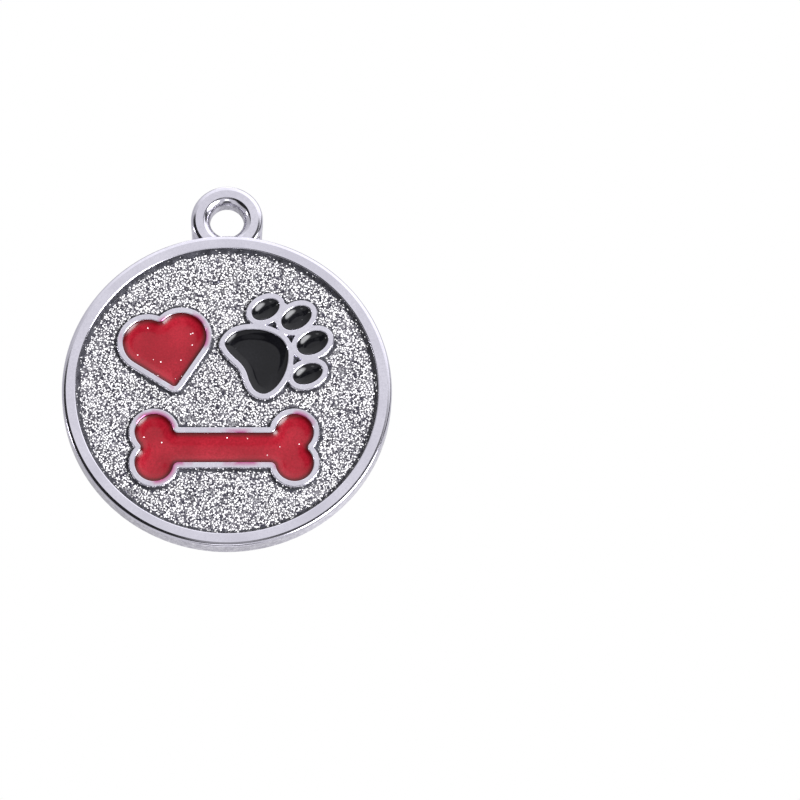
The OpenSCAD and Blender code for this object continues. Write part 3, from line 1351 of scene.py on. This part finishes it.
@dataclass
class ResinAndShadeFilm:
    """Dark resin that has crept up the sloping walls of the recess and the outlines, also
    painted shade where those walls meet the glitter.
    """

    draw: Drawing
    casting: Casting
    lift: float = 0.012 * MM
    crown_gap: float = 0.05 * MM
    toe_out: float = 0.09 * MM
    top_r: float = 0.01 * MM
    foot_r: float = 0.04 * MM
    toe_r: float = 0.004 * MM
    rim_steps: int = 300

    def profile(self, slope: float, wall_h: float, start: float) -> np.ndarray:
        """Return the film's section, from under the crown's edge down to the glitter.

        Args:
            slope: Width of the sloping wall.
            wall_h: Height of the crown over the glitter.
            start: Distance from the crown's edge at which the film starts.

        Returns:
            Distance from the crown's edge and height over the glitter of each point.
        """
        fall = wall_h / slope
        return rounded_profile(
            [
                (start, -self.lift, 0),
                (start, wall_h - start * fall + self.lift, self.top_r),
                (slope - 2 * self.lift, 3 * self.lift, self.foot_r),
                (slope + self.toe_out, self.lift, self.toe_r),
                (slope + self.toe_out, -self.lift, 0),
            ],
            closed=True,
            steps=4,
        )

    def build(self) -> None:
        """Build and dress the film on every outline and on the rim."""
        cast, draw = self.casting, self.draw
        wall_h = cast.outline_h() - draw.glitter_h
        section = self.profile(cast.outline_skirt, wall_h, self.crown_gap)
        section = section + [cast.crown_w, draw.glitter_h]
        shells = []
        for motif in Motif:
            curve = cast.design.outline(motif)
            shells.append(swept(draw, grown(curve, cast.web_spread(motif, curve)), section))
        rim_slope, rim_h = cast.recess_r() - draw.glitter_r, cast.lip_h() - draw.glitter_h
        rim = self.profile(rim_slope, rim_h, 0) * [-1, 1] + [cast.recess_r(), draw.glitter_h]
        shells.append(turned(draw, rim, self.rim_steps))
        # The film is dark resin, and painted shade at the foot of each wall.
        make_piece("resin_and_painted_shade_film", shells, RESIN_AND_SHADE_FILM.material(), "glitter_resin")


@dataclass
class EnamelFills:
    """Enamel in the cells, climbing the cell's wall all round."""

    draw: Drawing
    design: FrontDesign
    seat: float = 0.02 * MM
    sink: float = 0.32 * MM
    climb: float = 0.32 * MM
    climb_reach: float = 0.4 * MM
    pad_climb: float = 0.27 * MM
    pad_reach: float = 0.6 * MM
    red_reach: float = 0.7 * MM
    depth: float = 0.45 * MM
    rings: int = 34
    ring_crowding: float = 1.6
    wall_points: int = 900

    def fill(self, motif: Motif) -> tuple[Surface, np.ndarray]:
        """Pour one cell.

        The top is a grid of s along the outline and t from the wall to the middle. Its
        height falls from the wall as the exponential of minus the distance over the reach.

        Args:
            motif: The cell.

        Returns:
            The closed fill and each point's distance to the wall.
        """
        curve = self.design.outline(motif)
        wall = grown(curve, self.seat)
        middle = self.design.middle(motif, curve)
        t = (np.linspace(0, 1, self.rings) ** self.ring_crowding)[:, None, None]
        flat = wall[None] * (1 - t) + middle[None] * t
        fine = even_curve(curve, self.wall_points)
        gap = distance_to(flat.reshape(-1, 2), fine).reshape(flat.shape[:2])
        gap[0] = 0
        climb, reach = self.climb, self.climb_reach
        if motif is Motif.PAD:
            climb, reach = self.pad_climb, self.pad_reach
        elif motif.is_red:
            reach = self.red_reach
        top = self.draw.enamel_h - self.sink + climb * np.exp(-gap / reach)
        upper = self.draw.place(flat, top)
        lower = self.draw.place(flat[::-1], self.draw.enamel_h - self.depth)
        points = np.vstack([upper[::-1], lower[::-1]]).reshape(-1, 3)
        quads = grid_faces(2 * self.rings, len(curve), False, True)
        wall_gap = np.vstack([gap[::-1], 0 * gap]).ravel()
        return Surface(points, quads).outward(), wall_gap

    def build(self) -> None:
        """Build and dress every fill."""
        black, red = BLACK_ENAMEL.material(), RED_ENAMEL.material()
        for motif in Motif:
            surface, wall_gap = self.fill(motif)
            make_piece(
                motif.value.replace("_fill", "_enamel"),
                [surface],
                red if motif.is_red else black,
                "red_enamel" if motif.is_red else "black_enamel",
                motif.value,
                values={"wall_gap": wall_gap},
            )


@dataclass
class GlitterField:
    """Glitter resin round the motifs: a dark bed and the flakes that lie in it."""

    draw: Drawing
    casting: Casting
    bed_sink: float = 0.02 * MM
    bed_t: float = 0.38 * MM
    bed_climb: float = 0.02 * MM
    bed_reach: float = 0.12 * MM
    bed_gaps: tuple[float, float] = (3 * MM, 0.01 * MM)
    bed_rings: int = 30
    bed_steps: int = 240
    pitch: float = 0.16 * MM
    comb_margin: float = 1.7
    jitter: float = 0.25
    chips: int = 6000
    flake_w: tuple[float, float] = (0.112 * MM, 0.158 * MM)
    chip_w: tuple[float, float] = (0.06 * MM, 0.11 * MM)
    sides: int = 6
    tilt: float = 10.0
    stack: float = 0.03 * MM
    lowest_share: float = 0.2
    first_slope: float = 0.25
    wall_chance: float = 0.17
    clear_reach: float = 1.45
    dark_share: float = 0.14
    dull_share: float = 0.2
    dark_tone: float = 0.03
    dull_tone: float = 0.22
    bright_tone: float = 0.92
    tone_spread: tuple[float, float] = (0.7, 1.3)
    smears: int = 14
    smear_field_share: float = 0.8
    smear_r: float = 0.4 * MM
    smear_edge: tuple[float, float] = (0.5, 1.1)
    smear_tilt_share: float = 0.1
    smear_tone: float = 0.3
    seed: int = 11

    def bed(self) -> Surface:
        """Turn the bed's section, level and climbing the rim's wall by an exponential.

        Returns:
            The closed shell.
        """
        d = self.draw
        top = d.glitter_h - self.bed_sink
        gaps = np.geomspace(*self.bed_gaps, self.bed_rings)
        gap = np.concatenate([[d.glitter_r], gaps, [0]])
        height = top + self.bed_climb * np.exp(-gap / self.bed_reach)
        upper = np.column_stack([d.glitter_r - gap, height])
        lower = np.array([[d.glitter_r, top - self.bed_t], [0, top - self.bed_t]])
        return turned(d, np.vstack([upper, lower]), self.bed_steps)

    def places(self, rng: np.random.Generator) -> tuple[np.ndarray, np.ndarray]:
        """Scatter full flakes on a loose honeycomb and chips anywhere between them.

        Args:
            rng: The seeded generator.

        Returns:
            Places in the drawing and the width of the flake at each.
        """
        reach = self.casting.recess_r()
        n = int(reach / self.pitch * self.comb_margin)
        i, j = np.meshgrid(np.arange(-n, n), np.arange(-n, n))
        comb = np.column_stack([(i + j / 2).ravel(), (j * math.sqrt(0.75)).ravel()]) * self.pitch
        comb = comb[np.hypot(*comb.T) < reach]
        comb += rng.normal(size=comb.shape) * self.jitter * self.pitch
        strewn = (rng.random((self.chips, 2)) * 2 - 1) * reach
        width = np.concatenate(
            [rng.uniform(*self.flake_w, len(comb)), rng.uniform(*self.chip_w, len(strewn))]
        )
        return np.vstack([comb, strewn]), width

    def slope_share(self, flat: np.ndarray) -> np.ndarray:
        """Say how far down the nearest wall each place is.

        Args:
            flat: Places in the drawing.

        Returns:
            Nought at a crown's edge, one at the foot of its wall, more on the field and
            less than nought on metal or enamel.
        """
        cast = self.casting
        slope = (cast.recess_r() - np.hypot(*flat.T)) / (cast.recess_r() - self.draw.glitter_r)
        for motif in Motif:
            curve = cast.design.outline(motif)
            crown = grown(curve, cast.crown_w + cast.web_spread(motif, curve))
            free = (slope > 0) & ~inside(flat, crown)
            gap = np.full(len(flat), -1.0)
            gap[free] = distance_to(flat[free], crown)
            slope = np.minimum(slope, gap / cast.outline_skirt)
        return slope

    def flakes(self) -> tuple[Surface, np.ndarray]:
        """Lay a flake at each place that the resin leaves free.

        The chance of one on a wall rises with the cube of the way down, and its height
        falls in proportion. The flakes are tilted by a normal spread in random
        directions, and in a smear they lie flat and dull.

        Returns:
            The flakes and the tone of each of their points.
        """
        rng = np.random.default_rng(self.seed)
        flat, width = self.places(rng)
        slope = self.slope_share(flat)
        chance = np.maximum(np.clip(slope / self.clear_reach, 0, 1) ** 3, self.wall_chance)
        keep = (slope > self.first_slope) & (rng.random(len(flat)) < chance)
        keep &= ~inside(flat, self.casting.web_corners())
        flat, width, down = flat[keep], width[keep], np.clip(slope[keep], 0, 1)
        n = len(flat)
        rise = (self.casting.outline_h() - self.draw.glitter_h) * (1 - down)
        height = self.draw.glitter_h + rise + self.stack * (self.lowest_share + rng.random(n))
        smears = rng.uniform(-1, 1, (self.smears, 2)) * self.draw.glitter_r
        nearest = distance_to(flat, smears * self.smear_field_share)
        smeared = nearest < self.smear_r * rng.uniform(*self.smear_edge, n)
        tilt = np.radians(self.tilt) * rng.normal(size=n)
        tilt[smeared] *= self.smear_tilt_share
        heading, spin = 2 * math.pi * rng.random((2, n))
        points = self.corners(self.draw.place(flat, height), width, tilt, heading, spin)
        faces = np.arange(n * self.sides).reshape(n, self.sides)
        tone = np.repeat(self.tones(rng, smeared), self.sides)
        return Surface(points, np.zeros((0, 4), int), caps=tuple(faces)), tone

    def corners(
        self,
        centre: np.ndarray,
        width: np.ndarray,
        tilt: np.ndarray,
        heading: np.ndarray,
        spin: np.ndarray,
    ) -> np.ndarray:
        """Work out the corners of flat, many-sided flakes.

        A corner is the centre plus half the width times the cosine and the sine of the
        corner's angle, on two unit vectors at right angles to the flake's normal.

        Args:
            centre: Middle of each flake, in the frame.
            width: Width of each.
            tilt: Angle between its normal and the tag's.
            heading: Direction in which it is tilted.
            spin: How far it is turned about its normal.

        Returns:
            The corners, flake by flake.
        """
        lean = np.sin(tilt)
        normal = np.column_stack([lean * np.cos(heading), lean * np.sin(heading), np.cos(tilt)])
        first = np.cross(normal, np.column_stack([-np.sin(spin), np.cos(spin), 0 * spin]))
        first /= np.linalg.norm(first, axis=1)[:, None]
        second = np.cross(normal, first)
        a = np.linspace(0, 2 * math.pi, self.sides, endpoint=False)[None, :, None]
        around = np.cos(a) * first[:, None] + np.sin(a) * second[:, None]
        offset = width[:, None, None] / 2 * around
        hung = np.stack([offset[..., 0], -offset[..., 2], offset[..., 1]], axis=-1)
        return (centre[:, None] + hung).reshape(-1, 3)

    def tones(self, rng: np.random.Generator, smeared: np.ndarray) -> np.ndarray:
        """Draw the flakes' tones: a few dark, some dull and the rest bright.

        Args:
            rng: The seeded generator.
            smeared: Which flakes lie in a smear, where all have one dull tone.

        Returns:
            The tone of each flake.
        """
        n = len(smeared)
        lot, shade = rng.random(n), rng.uniform(*self.tone_spread, n)
        light = np.where(lot < self.dark_share + self.dull_share, self.dull_tone, self.bright_tone)
        tone = np.where(lot < self.dark_share, self.dark_tone, light) * shade
        return np.where(smeared, self.smear_tone, tone)

    def build(self) -> None:
        """Build and dress the bed and the flakes."""
        resin, foil, slot = GLITTER_RESIN.material(), FlakeFoil().material(), "glitter_resin"
        make_piece("glitter_bed", [self.bed()], resin, slot, "glitter_field")
        flakes, tone = self.flakes()
        make_piece("glitter_flakes", [flakes], foil, slot, values={"tone": tone})


@dataclass
class NumberRows:
    """Paint in the engraved rows of the back, which keep their CAD solids."""

    nodes: tuple[str, ...] = ("number_row_1", "number_row_2", "number_row_3")

    def build(self) -> None:
        """Dress the rows."""
        material = BLACK_PAINT.material()
        for name in self.nodes:
            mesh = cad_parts[name].data
            mesh.materials.clear()
            mesh.materials.append(material)
            LOG.info("%s: kept and painted", name)


# Studio


def towards(azimuth: float, elevation: float) -> Vector:
    """Return a unit direction, from its degrees round from the front and up."""
    a, e = math.radians(azimuth), math.radians(elevation)
    return Vector((math.sin(a) * math.cos(e), -math.cos(a) * math.cos(e), math.sin(e)))


@dataclass(frozen=True)
class SkyPatch:
    """A round patch of the sky: where it is, how far it reaches and how bright it is."""

    azimuth: float
    elevation: float
    inner: float
    outer: float
    level: float


SKY = (
    SkyPatch(-70, 0, 25, 55, 0.50),
    SkyPatch(10, 58, 18, 38, 1.1),
    SkyPatch(42, 44, 4, 34, 1.4),
    SkyPatch(0, 95, 8, 16, 2.0),
    SkyPatch(58, 14, 9, 18, 0.06),
    SkyPatch(38, 9, 6, 9, 0.02),
    SkyPatch(38, -16, 9, 21, 18.0),
    SkyPatch(0, -36, 3, 8, 3.0),
    SkyPatch(0, -68, 12, 20, 0.10),
    SkyPatch(2, 13, 22, 24, 0.06),
    SkyPatch(-16, 3, 22, 26, 0.02),
    SkyPatch(-34, -14, 10, 17, 0.02),
    SkyPatch(0, 22, 16, 19, 0.82),
    SkyPatch(-55, 5, 3, 5, 12.0),
    SkyPatch(180, -60, 8, 16, 1.3),
    SkyPatch(150, -4, 6, 24, 1.0),
    SkyPatch(-160, 5, 8, 20, 0.55),
    SkyPatch(180, 45, 20, 30, 0.50),
    SkyPatch(180, 8, 8, 15, 1.05),
    SkyPatch(0, -4, 4, 8, 0.36),
)


@dataclass
class Studio:
    """Pale floor, soft light and the camera at the photograph's angle."""

    draw: Drawing
    elevation: float = -19.7
    azimuth: float = 0.0
    distance: float = 450 * MM
    pixels_per_mm: float = 13.2
    frame_px: float = 800.0
    disc_px: tuple[float, float] = (227.0, 389.3)
    sensor: float = 36.0
    clip: tuple[float, float] = (0.01, 10.0)
    floor_drop: float = 250 * MM
    floor_w: float = 3.6
    floor_grey: Colour = (0.9, 0.9, 0.9)
    floor_rough: float = 0.9
    floor_glow: float = 0.9
    sky_level: float = 0.68
    sky_tint: Colour = (0.97, 0.97, 1.0)
    panel_at: tuple[float, float] = (38.0, -16.0)
    panel_distance: float = 600 * MM
    panel_reach: float = 12.0
    panel_power: float = 6.0

    def camera(self) -> None:
        """Aim a camera so that the disc's front stands at its place in the frame."""
        focal_px = self.pixels_per_mm / MM * self.distance
        target = Vector((0, self.draw.back_y - self.draw.thickness, self.draw.centre_z))
        back = towards(self.azimuth, self.elevation)
        aim = (-back).to_track_quat("-Z", "Y").to_matrix()
        right, up = aim @ Vector((1, 0, 0)), aim @ Vector((0, 1, 0))
        half = self.frame_px / 2
        ahead = -back * focal_px - right * (self.disc_px[0] - half) + up * (self.disc_px[1] - half)
        data = bpy.data.cameras.new("camera")
        data.sensor_width = self.sensor
        data.lens = focal_px / self.frame_px * self.sensor
        data.clip_start, data.clip_end = self.clip
        camera = bpy.data.objects.new("camera", data)
        z = -ahead.normalized()
        x = up.cross(z).normalized()
        turn = Matrix((x, z.cross(x), z)).transposed()
        camera.matrix_world = Matrix.Translation(target + back * self.distance) @ turn.to_4x4()
        bpy.context.scene.collection.objects.link(camera)
        bpy.context.scene.camera = camera

    def floor(self) -> None:
        """Lay the pale floor well below the hanging tag."""
        half, low = self.floor_w / 2, CAD_LOW.z - self.floor_drop
        mesh = bpy.data.meshes.new("floor")
        corners = [(-half, -half, low), (half, -half, low), (half, half, low), (-half, half, low)]
        mesh.from_pydata(corners, [], [(0, 1, 2, 3)])
        bench = Bench("pale_floor")
        bench.set(Base_Color=(*self.floor_grey, 1), Roughness=self.floor_rough)
        bench.set(Emission_Color=(1, 1, 1, 1), Emission_Strength=self.floor_glow)
        mesh.materials.append(bench.material)
        floor = bpy.data.objects.new("floor", mesh)
        floor.visible_glossy = floor.visible_diffuse = False
        bpy.context.scene.collection.objects.link(floor)

    def panel(self) -> None:
        """Hang a round soft panel at the lower right, which mirrors don't show."""
        data = bpy.data.lights.new("soft_panel", "AREA")
        data.shape = "DISK"
        data.size = 2 * self.panel_distance * math.tan(math.radians(self.panel_reach))
        data.energy = self.panel_power
        panel = bpy.data.objects.new("soft_panel", data)
        panel.visible_glossy = False
        away = towards(*self.panel_at)
        panel.location = away * self.panel_distance + Vector((0, 0, self.draw.centre_z))
        panel.rotation_euler = away.to_track_quat("Z", "Y").to_euler()
        bpy.context.scene.collection.objects.link(panel)

    def world(self) -> None:
        """Light the tag from a soft sky and show the camera plain white.

        The sky starts as one grey, and each patch is laid over it by a smooth step of the
        angle between the patch's direction and the ray's.
        """
        world = bpy.data.worlds.new("studio")
        bpy.context.scene.world = world
        world.use_nodes = True
        world.node_tree.nodes.clear()
        wiring = Wiring(world.node_tree)
        node, link = wiring.node, wiring.link
        ray = node("ShaderNodeTexCoord").outputs["Generated"]
        level = None
        for patch in SKY:
            dot = node("ShaderNodeVectorMath", operation="DOT_PRODUCT")
            dot.inputs[1].default_value = towards(patch.azimuth, patch.elevation)
            link(ray, dot.inputs[0])
            edges = tuple(math.cos(math.radians(r)) for r in (patch.outer, patch.inner))
            layer = node("ShaderNodeMix")
            layer.inputs["A"].default_value = self.sky_level
            layer.inputs["B"].default_value = patch.level
            link(wiring.ramp(dot.outputs["Value"], edges, smooth=True), layer.inputs["Factor"])
            if level is not None:
                link(level, layer.inputs["A"])
            level = layer.outputs["Result"]
        sky, plain = node("ShaderNodeBackground"), node("ShaderNodeBackground")
        sky.inputs["Color"].default_value = (*self.sky_tint, 1)
        plain.inputs["Color"].default_value = (1, 1, 1, 1)
        link(level, sky.inputs["Strength"])
        mix, out = node("ShaderNodeMixShader"), node("ShaderNodeOutputWorld")
        link(node("ShaderNodeLightPath").outputs["Is Camera Ray"], mix.inputs["Fac"])
        link(sky.outputs[0], mix.inputs[1])
        link(plain.outputs[0], mix.inputs[2])
        link(mix.outputs[0], out.inputs["Surface"])

    def build(self) -> None:
        """Set up the whole studio."""
        bpy.context.scene.view_settings.view_transform = "Standard"
        self.floor()
        self.world()
        self.panel()
        self.camera()
        LOG.info("studio: camera, floor and sky")


def main() -> None:
    """Build the tag piece by piece, then the studio."""
    logging.basicConfig(level=logging.INFO, format="%(message)s")
    draw = Drawing.from_frame()
    design = FrontDesign.on(draw)
    casting = Casting(draw, design)
    casting.build()
    EnamelFills(draw, design).build()
    GlitterField(draw, casting).build()
    ResinAndShadeFilm(draw, casting).build()
    NumberRows().build()
    Studio(draw).build()


if __name__ == "__main__":
    main()
